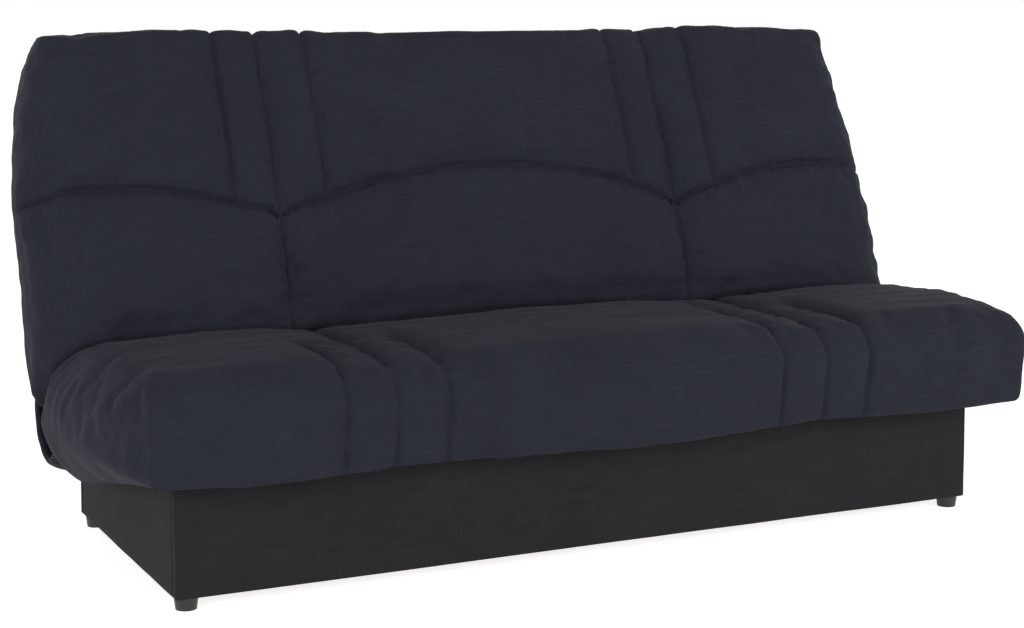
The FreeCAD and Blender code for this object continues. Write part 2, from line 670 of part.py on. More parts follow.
def seat_arms():
    """Arms bolted to the rails of the seat, each with its ratchet disc."""
    run = size("arm_length")
    for side, way in SIDES:
        x = low_x(way, seat_arm_in, seat_arm_out)
        arm = link("seat_link_" + side, ("sizes.arm_length", run), "arm_width", "plate",
                   [(ORIGIN_SPOT, FREE_EYE)] + ARM_BOLTS,
                   upright(x, hinge_line, 180 - size("seat_tilt")))
        x = low_x(way, disc_in, seat_arm_in)
        disc = rod("disc_" + side, "sizes.ratchet_radius", "sizes.plate", (x, 0, 0), SEAT)
        eye = rod("disc_eye_" + side, "sizes.pivot_radius + sizes.pivot_play", "sizes.plate",
                  (x, 0, 0), SEAT)
        notches = []
        for n, turn in enumerate((0, full_fold / 2, full_fold)):
            spot = round_hinge(size("ratchet_radius"), size("nose_angle") + turn)
            pin = round_hinge(size("pawl_reach"), size("pawl_angle") + turn)
            part = size("notch_run") / span(spot, pin)
            mouth = (spot[0] + part * (pin[0] - spot[0]), spot[1] + part * (pin[1] - spot[1]))
            notches += [rod("notch_%s_%d_%s" % (side, n, end), "sizes.notch_radius", "sizes.plate",
                            (x, place[0], place[1]), SEAT)
                        for end, place in (("foot", spot), ("mouth", mouth))]
        ratchet = cut("ratchet_" + side, disc, eye, *notches)
        keep(fuse("seat_arm_" + side, arm, ratchet), "seat_arm_" + side)



def round_hinge(radius, angle):
    turn = math.radians(angle)
    return (radius * math.cos(turn), radius * math.sin(turn))


def turned_spot(spot, angle, middle):
    """A point of a flat section after the section is turned up round the hinge line."""
    reach = math.hypot(*spot)
    y, z = round_hinge(reach, math.degrees(math.atan2(spot[1], spot[0])) + angle)
    return (middle[0] + y, middle[1] + z)


def back_arms():
    """Arms of the back, each with a lug whose pin carries a pawl, lifted just off its disc."""
    pin = round_hinge(size("pawl_reach"), size("pawl_angle"))
    notch = round_hinge(size("ratchet_radius"), size("nose_angle"))
    run = span(pin, notch)
    lift = slope(pin, notch) + size("pawl_lift")
    foot_spot = (size("lug_start"), 0)
    lug_run = span(foot_spot, pin)
    angle = size("back_angle")
    pin_line = turned_spot(pin, angle, hinge_line)
    foot_line = turned_spot(foot_spot, angle, hinge_line)
    pin_hole = ("sizes.pawl_pin", size("pawl_pin"))
    loose = ("sizes.pawl_pin + sizes.pivot_play", size("pawl_pin") + size("pivot_play"))
    arm_run = size("arm_length")
    lug_in = back_arm_in - size("plate")
    for side, way in SIDES:
        x = low_x(way, disc_in, seat_arm_in)
        keep(link("pawl_" + side, (PAWL_RUN, run), "pawl_width", "plate", [(ORIGIN_SPOT, loose)],
                  upright(x, pin_line, lift + angle)), "pawl_" + side)
        x = low_x(way, back_arm_in, back_arm_out)
        arm = link("back_link_" + side, ("sizes.arm_length", arm_run), "arm_width", "plate",
                   [(ORIGIN_SPOT, FREE_EYE)] + ARM_BOLTS, upright(x, hinge_line, angle))
        x = low_x(way, lug_in, back_arm_in)
        lug = link("lug_" + side, (LUG_RUN, lug_run), "lug_width", "plate",
                   [((LUG_RUN, lug_run), pin_hole)],
                   upright(x, foot_line, slope(foot_spot, pin) + angle))
        start = low_x(way, lug_in, seat_arm_in)
        pin_rod = rod("pawl_pin_" + side, "sizes.pawl_pin", "3 * sizes.plate + sizes.side_gap",
                      (start, pin[0], pin[1]), BACK)
        keep(fuse("back_arm_" + side, arm, lug, pin_rod), "back_arm_" + side)


PAWL_RUN = ("sqrt(sizes.pawl_reach^2 + sizes.ratchet_radius^2 - 2 * sizes.pawl_reach"
            " * sizes.ratchet_radius * cos((sizes.pawl_angle - sizes.nose_angle) * 1 deg))")
LUG_RUN = ("sqrt(sizes.pawl_reach^2 + sizes.lug_start^2 - 2 * sizes.pawl_reach"
           " * sizes.lug_start * cos(sizes.pawl_angle * 1 deg))")


# Mattress: one outline per section, lofted along X, swelling between its seams

half_pad = frame_end + size("pad_overhang")
top = size("pad_top")
half_tube = size("tube") / 2
half_fold = math.radians((180 - full_fold) / 2)
FAR = 1500


def seat_corners():
    """Corners round the seat from under the fold, each with the bulge of the side after it."""
    reach = size("seat_reach")
    edge = size("front_round")
    hem = size("hem_drop")
    turns = [math.radians(90 * n / 4) for n in range(5)]
    front = [(reach - edge + edge * math.sin(a), top - edge + edge * math.cos(a)) for a in turns]
    return ([(0, -hem), (size("crease_reach"), top)] + front
            + [(reach - 20, -hem), (reach / 2, -(hem + size("belly_drop")) / 2),
               (size("belly_reach"), -size("belly_drop"))],
            [0, size("crown")] + [0] * 7 + [size("belly_swell")])


def back_corners():
    """The same round the back, whose far side is the top of the sofa."""
    reach = size("back_reach")
    hem = size("hem_drop")
    return ([(0, -hem), (size("crease_reach"), top), (reach - 14, top), (reach, top / 3),
             (reach - 12, -hem), (reach / 2, -(hem + size("belly_drop")) / 2),
             (size("belly_reach"), -size("belly_drop"))],
            [0, size("crown"), 6, 0, 0, 0, size("belly_swell")])


def outline(x, way, corners, bulges, near, far, sink):
    """Closed wire across the sofa at x, drawn in at the fold, at the far end and in height."""
    reach = max(u for u, _ in corners)
    middle = reach / 2
    height = size("pull_height")
    drawn = []
    for u, w in corners:
        inset = near + (far - near) * u / reach
        drawn.append((middle + (u - middle) * (1 - inset / middle),
                      height + (w - height) * (1 - sink / (top - height))))
    edges = []
    for n, (a, bulge) in enumerate(zip(drawn, bulges)):
        b = drawn[(n + 1) % len(drawn)]
        start = vec(x, way * a[0], a[1])
        end = vec(x, way * b[0], b[1])
        if bulge == 0:
            edges.append(Part.makeLine(start, end))
            continue
        run = span(a, b)
        mid = ((a[0] + b[0]) / 2 - bulge * (b[1] - a[1]) / run,
               (a[1] + b[1]) / 2 + bulge * (b[0] - a[0]) / run)
        edges.append(Part.Arc(start, vec(x, way * mid[0], mid[1]), end).toShape())
    return Part.Wire(edges)


def zone(way, room):
    """Everything on a section's own side of the fold, less a room beside the folded strip."""
    edge = size("fold_gap") / math.sin(half_fold) - room
    lean = FAR / math.tan(half_fold)
    spots = [(edge, -FAR), (edge, 0), (edge + lean, FAR), (2 * FAR, FAR), (2 * FAR, -FAR)]
    wire = Part.makePolygon([vec(-FAR, way * u, w) for u, w in spots + spots[:1]])
    return Part.Face(wire).extrude(vec(2 * FAR, 0, 0))


SEAM_SPANS = ((-half_pad, -size("left_seam")), (-size("left_seam"), size("right_seam")),
              (size("right_seam"), half_pad))


def rise_at(x):
    """How far a cushion stands proud between the seams at x, as an inset under nought."""
    for start, end in SEAM_SPANS:
        if start <= x <= end:
            part = (x - start) / (end - start)
            return -4 * size("puff") * part * (1 - part)
    return 0


def swollen(way, corners, bulges, pull):
    """Three cushions between the middle seams and the ends, and the two swollen ends."""
    lofts = []
    for start, end in SEAM_SPANS:
        stations = [start + (end - start) * n / 4 for n in range(5)]
        wires = [outline(x, way, corners, bulges, *[rise_at(x)] * 3) for x in stations]
        lofts.append(Part.makeLoft(wires, True, True))
    for _, sign in SIDES:
        wires = []
        for n in range(4):
            part = n / 4
            out = size("end_bulge") * (1 - (1 - part) ** 2)
            wires.append(outline(sign * (half_pad + out), way, corners, bulges,
                                 size("near_pull") * part, pull * part, size("end_pull") * part))
        lofts.append(Part.makeLoft(wires, True, True))
    return lofts[0].multiFuse(lofts[1:])


def channels(way, corners, bulges, spots, start):
    """Sewn channels across a section at some distances from the middle."""
    half = size("seam_width") / 2
    cutters = []
    for x in spots:
        depth = rise_at(x) + size("seam_depth")
        face = Part.Face(outline(x - half, way, corners, bulges, depth, depth, depth))
        slab = Part.makeBox(2 * half, FAR, FAR, vec(x - half, start if way > 0 else -start - FAR,
                                                    -size("hem_drop")))
        cutters.append(slab.cut(face.extrude(vec(2 * half, 0, 0))))
    return cutters


def cushion(part, frame, way, corners, bulges, reach, pull, seam_start):
    """Mattress section over its frame, with its cover's borders and its foam."""
    body = swollen(way, corners, bulges, size(pull))
    spots = [middle + shift for middle in (-size("left_seam"), size("right_seam"))
             for shift in (-size("seam_step"), size("seam_step"))]
    body = body.cut(channels(way, corners, bulges, spots, seam_start))
    body = body.common(zone(way, 0))
    inner_end = frame_end + size("skirt_gap")
    hinge_space = Part.makeCylinder(size("hinge_room"), 2 * inner_end, vec(-inner_end, 0, 0), ALONG_X)
    upper = body.common(Part.makeBox(2 * FAR, 2 * FAR, FAR, vec(-FAR, -FAR, half_tube)))
    lower = body.common(Part.makeBox(2 * FAR, 2 * FAR, FAR, vec(-FAR, -FAR, half_tube - FAR)))
    far = size(reach) - size("border") + size("skirt_gap")
    skin = size("pad_skin")
    core_near = size("fold_gap") / math.sin(half_fold) + top / math.tan(half_fold)
    core_run = far - core_near - skin
    core_wide = 2 * (half_pad - skin)
    core_tall = top - half_tube - size("cover_base") - skin
    play = size("side_gap")
    core_y = core_near if way > 0 else -core_near - core_run
    core = Part.makeBox(core_wide, core_run, core_tall,
                        vec(-core_wide / 2, core_y, half_tube + size("cover_base")))
    hollow = Part.makeBox(core_wide + 2 * play, core_run + 2 * play, core_tall + play,
                          vec(-core_wide / 2 - play, core_y - play, half_tube + size("cover_base")))
    feature(part + "_cushion", upper.cut([hinge_space, hollow]), frame)
    feature(part + "_foam", core, frame)
    front_y = far if way > 0 else -far - FAR
    front = lower.common(Part.makeBox(2 * FAR, FAR, 2 * FAR, vec(-FAR, front_y, -FAR)))
    feature(part + "_border_end", front, frame)
    side_y = -far if way < 0 else 0
    for side, sign in SIDES:
        x = inner_end if sign > 0 else -inner_end - FAR
        strip = lower.common(Part.makeBox(FAR, far, 2 * FAR, vec(x, side_y, -FAR)))
        feature("%s_border_%s" % (part, side), strip, frame)


def fold():
    """Folded strip of the mattress between the two sections, and its ends."""
    room = size("side_gap")
    keep_out = [zone(SEAT_WAY, room), zone(BACK_WAY, room)]
    keep_out[0].Placement = SEAT
    keep_out[1].Placement = BACK
    middle = vec(0, hinge_line[0], hinge_line[1])
    inner_end = frame_end + size("skirt_gap")
    outer_end = half_pad + 0.3 * size("end_bulge")
    reach = (top + size("crown") / 2) / math.sin(half_fold)
    lean = 180 - size("seat_tilt") - math.degrees(half_fold)
    strip = Part.makeBox(2 * inner_end, reach - size("hinge_room"), 4 * size("fold_gap"),
                         vec(-inner_end, size("hinge_room"), -2 * size("fold_gap")))
    strip.Placement = turned(lean, hinge_line[0], hinge_line[1])
    feature("mattress_fold", strip.cut(keep_out))
    ends = []
    for _, sign in SIDES:
        x = low_x(sign, inner_end, outer_end)
        run = outer_end - inner_end
        disc = Part.makeCylinder(size("gusset_radius"), run, vec(x, middle.y, middle.z), ALONG_X)
        rib = Part.makeBox(run, reach, 4 * size("fold_gap"), vec(x, 0, -2 * size("fold_gap")))
        rib.Placement = turned(lean, hinge_line[0], hinge_line[1])
        ends.append(disc.fuse(rib).cut(keep_out))
    feature("fold_ends", Part.makeCompound(ends))


panels()
box_floor()
feet()
rest_pads()
brackets()
pins()
base_fittings()
moving_plates()
springs()
bed_frame("seat", SEAT, SEAT_WAY, "seat_reach", seat_arm_in, SEAT_RAIL)
bed_frame("back", BACK, BACK_WAY, "back_reach", back_arm_in, BACK_RAIL)
seat_arms()
back_arms()
cushion("seat", SEAT, SEAT_WAY, *seat_corners(), "seat_reach", "seat_pull", size("seat_reach") / 2)
cushion("back", BACK, BACK_WAY, *back_corners(), "back_reach", "back_pull", size("arch_top"))
fold()

doc.recompute()
for item in doc.Objects:
    if "Invalid" in item.State or "Error" in item.State:
        raise RuntimeError("%s failed: %s" % (item.Label, item.State))
for piece in PIECES:
    if piece.Shape.isNull() or not piece.Shape.isValid():
        raise RuntimeError("%s has no valid shape" % piece.Label)

os.makedirs("parts", exist_ok=True)
for piece in PIECES:
    piece.Shape.exportStep("parts/%s.step" % piece.Label)
whole = Part.makeCompound([piece.Shape for piece in PIECES]).BoundBox
print("pieces", len(PIECES), "box", whole)
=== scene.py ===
import json
import math

import bmesh
import bpy
import numpy as np
from mathutils import Matrix, Vector
from mathutils.bvhtree import BVHTree
from mathutils.kdtree import KDTree


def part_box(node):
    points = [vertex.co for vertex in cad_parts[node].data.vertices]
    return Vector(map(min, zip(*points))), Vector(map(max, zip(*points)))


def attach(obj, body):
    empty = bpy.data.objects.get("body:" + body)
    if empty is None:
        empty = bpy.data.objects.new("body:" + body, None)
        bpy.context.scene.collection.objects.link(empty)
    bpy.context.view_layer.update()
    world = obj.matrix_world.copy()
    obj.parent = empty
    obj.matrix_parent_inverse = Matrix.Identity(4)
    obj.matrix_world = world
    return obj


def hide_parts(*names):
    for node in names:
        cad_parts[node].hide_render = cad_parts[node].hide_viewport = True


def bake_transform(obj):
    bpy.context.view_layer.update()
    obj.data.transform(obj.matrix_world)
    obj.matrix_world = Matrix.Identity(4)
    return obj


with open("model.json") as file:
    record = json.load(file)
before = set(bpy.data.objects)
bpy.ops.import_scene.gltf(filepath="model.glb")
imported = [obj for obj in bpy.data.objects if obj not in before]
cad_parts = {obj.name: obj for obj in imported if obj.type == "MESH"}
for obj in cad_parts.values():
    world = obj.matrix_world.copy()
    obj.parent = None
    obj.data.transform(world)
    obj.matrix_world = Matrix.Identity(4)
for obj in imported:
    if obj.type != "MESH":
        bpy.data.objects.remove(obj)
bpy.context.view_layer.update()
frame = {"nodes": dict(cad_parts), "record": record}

# Click clack sofa bed. The seat and the back are quilted sections of one mattress, hinged on the
# line HINGE. In a section's own plane "u" runs away from the hinge and "w" is the height over it.

HINGE = np.array((0.0, 0.137, 0.267))
SEAT_ANGLE = math.radians(-2.3)
BACK_ANGLE = math.radians(67.5)
SEAT_REACH = 0.605
BACK_REACH = 0.748

# Seams, in metres from the middle of the sofa, as (x, lowest u, highest u)
BACK_SEAMS = ((-0.575, 0.375, 0.80), (-0.482, 0.10, 0.80), (-0.376, 0.368, 0.80),
              (0.343, 0.368, 0.80), (0.435, 0.10, 0.80), (0.540, 0.352, 0.80))
SEAT_SEAMS = ((-0.573, 0.38, 0.70), (-0.473, 0.24, 0.70), (-0.375, 0.33, 0.70),
              (0.335, 0.30, 0.70), (0.438, 0.10, 0.70), (0.535, 0.33, 0.70))
# The arched seam across the back, as points (x, u) of its three bows
ARCHES = (((-1.05, 0.385), (-0.955, 0.405), (-0.744, 0.401), (-0.60, 0.375), (-0.490, 0.346)),
          ((-0.474, 0.346), (-0.33, 0.387), (-0.205, 0.413), (0.028, 0.427), (0.185, 0.414),
           (0.332, 0.370), (0.428, 0.335)),
          ((0.443, 0.332), (0.52, 0.353), (0.629, 0.385), (0.758, 0.402), (0.938, 0.391), (1.05, 0.37)))


# Shader groups

def node(tree, kind, **settings):
    made = tree.nodes.new(kind)
    for name, value in settings.items():
        setattr(made, name, value)
    return made


def math_node(tree, operation, a, b=None):
    """Maths on two values, each a number or a socket."""
    made = node(tree, "ShaderNodeMath", operation=operation)
    for index, value in enumerate((a, b)):
        if value is None:
            continue
        if isinstance(value, (int, float)):
            made.inputs[index].default_value = value
        else:
            tree.links.new(value, made.inputs[index])
    return made.outputs[0]


def noise_node(tree, coordinates=None, **values):
    """A noise texture, with its sockets set by name."""
    made = node(tree, "ShaderNodeTexNoise")
    for name, value in values.items():
        made.inputs[name].default_value = value
    if coordinates is not None:
        tree.links.new(coordinates, made.inputs["Vector"])
    return made


def stretched(tree, coordinates, stretch):
    """Coordinates scaled along each axis."""
    made = node(tree, "ShaderNodeVectorMath", operation="MULTIPLY")
    made.inputs[1].default_value = stretch
    tree.links.new(coordinates, made.inputs[0])
    return made.outputs[0]


def group(name, inputs, outputs):
    """A shader group with its inputs, as name, kind and value, and its outputs, as name and kind."""
    tree = bpy.data.node_groups.new(name, "ShaderNodeTree")
    for label, kind, value in inputs:
        made = tree.interface.new_socket(name=label, in_out="INPUT", socket_type=kind)
        if value is not None:
            made.default_value = value
    for label, kind in outputs:
        tree.interface.new_socket(name=label, in_out="OUTPUT", socket_type=kind)
    return tree, node(tree, "NodeGroupInput"), node(tree, "NodeGroupOutput")


def woven_group():
    """Plain weave: warp and weft threads as a height, with slubs and threads of uneven shade."""
    tree, inside, out = group("woven_cloth", (("Threads", "NodeSocketFloat", 900.0),
                                              ("Slub", "NodeSocketFloat", 0.4),
                                              ("Coordinates", "NodeSocketVector", None)),
                              (("Height", "NodeSocketFloat"), ("Shade", "NodeSocketFloat")))
    coordinates = inside.outputs["Coordinates"]
    split = node(tree, "ShaderNodeSeparateXYZ")
    tree.links.new(coordinates, split.inputs[0])
    warp, weft = [math_node(tree, "SINE",
                            math_node(tree, "MULTIPLY", split.outputs[axis], inside.outputs["Threads"]))
                  for axis in ("X", "Y")]
    over = math_node(tree, "MULTIPLY", math_node(tree, "MULTIPLY", warp, weft), 0.35)
    uneven = noise_node(tree, stretched(tree, coordinates, (18.0, 260.0, 60.0)), Scale=1.0, Detail=3.0)
    slub = math_node(tree, "MULTIPLY", uneven.outputs["Fac"], inside.outputs["Slub"])
    tree.links.new(math_node(tree, "ADD", over, slub), out.inputs["Height"])
    tree.links.new(uneven.outputs["Fac"], out.inputs["Shade"])
    return tree


def crease_group():
    """Fine creases and broad unevenness of a cloth drawn over padding."""
    tree, inside, out = group("soft_creases", (("Coarse", "NodeSocketFloat", 5.0),
                                               ("Fine", "NodeSocketFloat", 34.0),
                                               ("Coordinates", "NodeSocketVector", None)),
                              (("Height", "NodeSocketFloat"), ("Mask", "NodeSocketFloat")))
    coordinates = inside.outputs["Coordinates"]
    broad = noise_node(tree, coordinates, Detail=2.0, Distortion=0.6)
    fine = noise_node(tree, coordinates, Detail=4.0, Distortion=0.9)
    tree.links.new(inside.outputs["Coarse"], broad.inputs["Scale"])
    tree.links.new(inside.outputs["Fine"], fine.inputs["Scale"])
    ridge = math_node(tree, "ABSOLUTE", math_node(tree, "SUBTRACT", fine.outputs["Fac"], 0.5))
    height = math_node(tree, "ADD", broad.outputs["Fac"], math_node(tree, "MULTIPLY", ridge, 0.9))
    tree.links.new(height, out.inputs["Height"])
    tree.links.new(broad.outputs["Fac"], out.inputs["Mask"])
    return tree


def wear_group():
    """Worn or dusty edges, from how sharply the surface turns."""
    tree, inside, out = group("worn_edges", (("Spread", "NodeSocketFloat", 0.5),),
                              (("Mask", "NodeSocketFloat"),))
    geometry = node(tree, "ShaderNodeNewGeometry")
    patches = noise_node(tree, Scale=60.0)
    edge = math_node(tree, "SUBTRACT", geometry.outputs["Pointiness"], inside.outputs["Spread"])
    mask = math_node(tree, "MULTIPLY", math_node(tree, "MULTIPLY", edge, 9.0), patches.outputs["Fac"])
    ranged = node(tree, "ShaderNodeClamp")
    tree.links.new(mask, ranged.inputs[0])
    tree.links.new(ranged.outputs[0], out.inputs["Mask"])
    return tree


def grain_group():
    """Long wood grain along one axis, with pores."""
    tree, inside, out = group("wood_grain", (("Rings", "NodeSocketFloat", 40.0),
                                             ("Coordinates", "NodeSocketVector", None)),
                              (("Grain", "NodeSocketFloat"), ("Pores", "NodeSocketFloat")))
    drawn_out = stretched(tree, inside.outputs["Coordinates"], (1.0, 0.06, 1.0))
    rings = noise_node(tree, drawn_out, Detail=5.0, Distortion=1.4)
    tree.links.new(inside.outputs["Rings"], rings.inputs["Scale"])
    pores = noise_node(tree, drawn_out, Scale=900.0)
    tree.links.new(rings.outputs["Fac"], out.inputs["Grain"])
    tree.links.new(pores.outputs["Fac"], out.inputs["Pores"])
    return tree


WOVEN = woven_group()
CREASES = crease_group()
WORN = wear_group()
GRAIN = grain_group()


# Materials

def placed(tree, shared, coordinates=None, **values):
    """A shader group placed in a material, with this material's own values."""
    made = node(tree, "ShaderNodeGroup")
    made.node_tree = shared
    for name, value in values.items():
        made.inputs[name].default_value = value
    if coordinates is not None:
        tree.links.new(coordinates, made.inputs["Coordinates"])
    return made


def shades(tree, factor, dark, light, low=0.35, high=0.65):
    """A colour between two shades, by a value."""
    blend = node(tree, "ShaderNodeValToRGB")
    for stop, place, colour in zip(blend.color_ramp.elements, (low, high), (dark, light)):
        stop.position = place
        stop.color = (*colour, 1.0)
    tree.links.new(factor, blend.inputs[0])
    return blend.outputs[0]


def roughened(tree, shader, factor, spread, least):
    """Roughness that varies over the surface, from a value."""
    rough = math_node(tree, "ADD", math_node(tree, "MULTIPLY", factor, spread), least)
    tree.links.new(rough, shader.inputs["Roughness"])


def finish(name, roughness=0.8, sheen=0.0, metallic=0.0, gloss=0.5):
    """A material with its shader, and the coordinates that its pattern follows."""
    material = bpy.data.materials.new(name)
    material.use_nodes = True
    tree = material.node_tree
    shader = tree.nodes["Principled BSDF"]
    shader.inputs["Roughness"].default_value = roughness
    shader.inputs["Metallic"].default_value = metallic
    shader.inputs["Specular IOR Level"].default_value = gloss
    if sheen:
        shader.inputs["Sheen Weight"].default_value = sheen
        shader.inputs["Sheen Roughness"].default_value = 0.5
    coordinates = node(tree, "ShaderNodeTexCoord").outputs["Object"]
    return material, tree, shader, coordinates


def bumped(tree, shader, height, strength, distance):
    """Adds a bump to the shader, over any that it has."""
    bump = node(tree, "ShaderNodeBump")
    bump.inputs["Strength"].default_value = strength
    bump.inputs["Distance"].default_value = distance
    tree.links.new(height, bump.inputs["Height"])
    if shader.inputs["Normal"].is_linked:
        tree.links.new(shader.inputs["Normal"].links[0].from_socket, bump.inputs["Normal"])
    tree.links.new(bump.outputs[0], shader.inputs["Normal"])


CLOTH_GLOSS = 0.13


def cloth_finish(name, dark, light, threads, crease_depth, sheen):
    """Woven cover cloth: uneven threads, soft creases and a faint nap."""
    material, tree, shader, coordinates = finish(name, 0.86, sheen, gloss=CLOTH_GLOSS)
    creases = placed(tree, CREASES, coordinates, Coarse=6.0, Fine=30.0)
    weave = placed(tree, WOVEN, coordinates, Threads=threads, Slub=0.6)
    mixed = math_node(tree, "ADD", math_node(tree, "MULTIPLY", weave.outputs["Shade"], 0.6),
                      math_node(tree, "MULTIPLY", creases.outputs["Mask"], 0.4))
    tree.links.new(shades(tree, mixed, dark, light, 0.25, 0.75), shader.inputs["Base Color"])
    roughened(tree, shader, weave.outputs["Shade"], 0.12, 0.78)
    bumped(tree, shader, creases.outputs["Height"], 0.35, crease_depth)
    bumped(tree, shader, weave.outputs["Height"], 0.5, 0.0004)
    return material


def metal_finish(name, dark, light, roughness, metallic):
    """Painted or plated steel, rubbed along its edges."""
    material, tree, shader, coordinates = finish(name, roughness, 0.0, metallic)
    worn = placed(tree, WORN, Spread=0.52)
    noise = noise_node(tree, coordinates, Scale=140.0, Detail=4.0)
    mix = math_node(tree, "ADD", math_node(tree, "MULTIPLY", noise.outputs["Fac"], 0.7),
                    math_node(tree, "MULTIPLY", worn.outputs["Mask"], 0.8))
    tree.links.new(shades(tree, mix, dark, light, 0.25, 0.95), shader.inputs["Base Color"])
    roughened(tree, shader, noise.outputs["Fac"], 0.2, roughness - 0.1)
    bumped(tree, shader, noise.outputs["Fac"], 0.15, 0.0003)
    return material


def wood_finish(name, dark, light, roughness, rings):
    """Planed wood with its grain and pores."""
    material, tree, shader, coordinates = finish(name, roughness)
    grain = placed(tree, GRAIN, coordinates, Rings=rings)
    tree.links.new(shades(tree, grain.outputs["Grain"], dark, light, 0.38, 0.62),
                   shader.inputs["Base Color"])
    roughened(tree, shader, grain.outputs["Pores"], 0.2, roughness - 0.1)
    bumped(tree, shader, grain.outputs["Pores"], 0.25, 0.0003)
    return material


def moulded_finish(name, dark, light, roughness, scale):
    """Plastic, rubber or foam with a fine skin."""
    material, tree, shader, coordinates = finish(name, roughness)
    noise = noise_node(tree, coordinates, Scale=scale, Detail=3.0)
    tree.links.new(shades(tree, noise.outputs["Fac"], dark, light), shader.inputs["Base Color"])
    roughened(tree, shader, noise.outputs["Fac"], 0.15, roughness - 0.08)
    bumped(tree, shader, noise.outputs["Fac"], 0.3, 0.0004)
    return material


COVER_CLOTH = cloth_finish("cover_cloth", (0.0190, 0.0210, 0.0310), (0.0310, 0.0340, 0.0480), 900.0,
                           0.0020, 0.02)
BOX_CLOTH = cloth_finish("box_cloth", (0.0200, 0.0188, 0.0208), (0.0330, 0.0310, 0.0335), 1100.0,
                         0.0008, 0.015)
FINISHES = {
    "cover": COVER_CLOTH,
    "box_cloth": BOX_CLOTH,
    "foam": moulded_finish("foam", (0.62, 0.56, 0.36), (0.78, 0.72, 0.5), 0.9, 700.0),
    "black_steel": metal_finish("black_steel", (0.012, 0.012, 0.013), (0.06, 0.06, 0.062), 0.45, 0.0),
    "bare_steel": metal_finish("zinc_steel", (0.42, 0.42, 0.44), (0.68, 0.68, 0.7), 0.34, 1.0),
    "beech": wood_finish("beech", (0.50, 0.30, 0.15), (0.68, 0.46, 0.26), 0.45, 42.0),
    "batten_wood": wood_finish("pine", (0.52, 0.34, 0.17), (0.70, 0.52, 0.30), 0.6, 26.0),
    "hardboard": moulded_finish("hardboard", (0.13, 0.075, 0.04), (0.22, 0.13, 0.07), 0.7, 260.0),
    "cap_plastic": moulded_finish("cap_plastic", (0.010, 0.010, 0.011), (0.022, 0.022, 0.023), 0.5, 500.0),
    "foot_plastic": moulded_finish("foot_plastic", (0.010, 0.010, 0.011), (0.020, 0.020, 0.021), 0.5, 420.0),
    "rubber": moulded_finish("rest_rubber", (0.010, 0.010, 0.010), (0.026, 0.026, 0.026), 0.75, 380.0),
}
THREAD = moulded_finish("sewing_thread", (0.010, 0.013, 0.022), (0.022, 0.027, 0.04), 0.7, 2400.0)

for part in frame["record"]["subparts"]:
    holder = frame["nodes"][part["node"]]
    holder.data.materials.clear()
    holder.data.materials.append(FINISHES[part["material_slot"]])


# Working in the plane of a section

def to_section(points, angle, way):
    """Row points as (x, u, w) of a section; way is 1 where u runs to the rear, -1 to the front."""
    away = points - HINGE
    level = away[:, 1] * math.cos(angle) + away[:, 2] * math.sin(angle)
    height = -away[:, 1] * math.sin(angle) + away[:, 2] * math.cos(angle)
    return np.stack((away[:, 0], way * level, height), 1)


def to_row(points, angle, way):
    """The way back from a section to the row's frame."""
    level = way * points[:, 1]
    height = points[:, 2]
    return np.stack((points[:, 0], level * math.cos(angle) - height * math.sin(angle),
                     level * math.sin(angle) + height * math.cos(angle)), 1) + HINGE


def corners_of(mesh):
    flat = np.empty(len(mesh.vertices) * 3)
    mesh.vertices.foreach_get("co", flat)
    return flat.reshape(-1, 3)


def normals_of(mesh):
    flat = np.empty(len(mesh.vertices) * 3)
    mesh.vertices.foreach_get("normal", flat)
    return flat.reshape(-1, 3)


def put_corners(mesh, points):
    mesh.vertices.foreach_set("co", np.ascontiguousarray(points, dtype=np.float32).ravel())
    mesh.update()


def linked(name, data):
    piece = bpy.data.objects.new(name, data)
    bpy.context.scene.collection.objects.link(piece)
    return piece


def shown(name, mesh, material):
    """A piece with its finish, shaded smooth."""
    piece = linked(name, mesh)
    mesh.materials.clear()
    mesh.materials.append(material)
    mesh.shade_smooth()
    return piece


def meshed(name, points, faces, material):
    mesh = bpy.data.meshes.new(name)
    mesh.from_pydata([tuple(p) for p in points], [], [tuple(f) for f in faces])
    mesh.validate()
    return shown(name, mesh, material)


def remeshed(piece, voxel):
    """The piece as one closed skin of even faces."""
    skin = piece.modifiers.new("skin", "REMESH")
    skin.mode = "VOXEL"
    skin.voxel_size = voxel
    skin.use_smooth_shade = True
    return settled(piece)


def settled(piece):
    """The piece with its modifiers made part of its mesh."""
    bpy.context.view_layer.update()
    finished = bpy.data.meshes.new_from_object(
        piece.evaluated_get(bpy.context.evaluated_depsgraph_get()))
    piece.modifiers.clear()
    old = piece.data
    piece.data = finished
    bpy.data.meshes.remove(old)
    return piece


def field(seed, stretch):
    """Smooth noise over space, mostly between -1 and 1, as a function of an array of points."""
    maker = np.random.default_rng(seed)
    waves = maker.normal(size=(26, 3)) * np.array(stretch)
    phases = maker.uniform(0, 2 * math.pi, 26)

    def value(points):
        total = np.zeros(len(points))
        for wave, phase in zip(waves, phases):
            total += np.sin(points @ wave + phase)
        return total / 5.0

    return value


# Padded sections

# Face sizes of the pads, and of the copies that the cloth simulation runs on
FINE = 0.0075
COARSE = 0.018
SIMULATED_FRAMES = 20
PRESSURE = 4.0
SWELL_CAP = 0.012
# Low parts that rest on the frame, and the edge at the fold, stay where they are
HELD_HEIGHT = 0.03
HELD_REACH = 0.09

# Cuts on both sides of a seam, how near a cut a corner counts as lying on it, and how far from
# the seam the faces that are cut may be
SEAM_CUTS = (-0.012, -0.005, 0.0, 0.005, 0.012)
CUT_SNAP = 0.0009
CUT_REACH = 0.03

# A sewn channel is a narrow line in a wide hollow, each as (depth, half width)
ARCH_LINE, ARCH_HOLLOW = (0.0125, 0.0052), (0.0030, 0.026)
UPRIGHT_LINE, UPRIGHT_HOLLOW = (0.0070, 0.0052), (0.0012, 0.026)

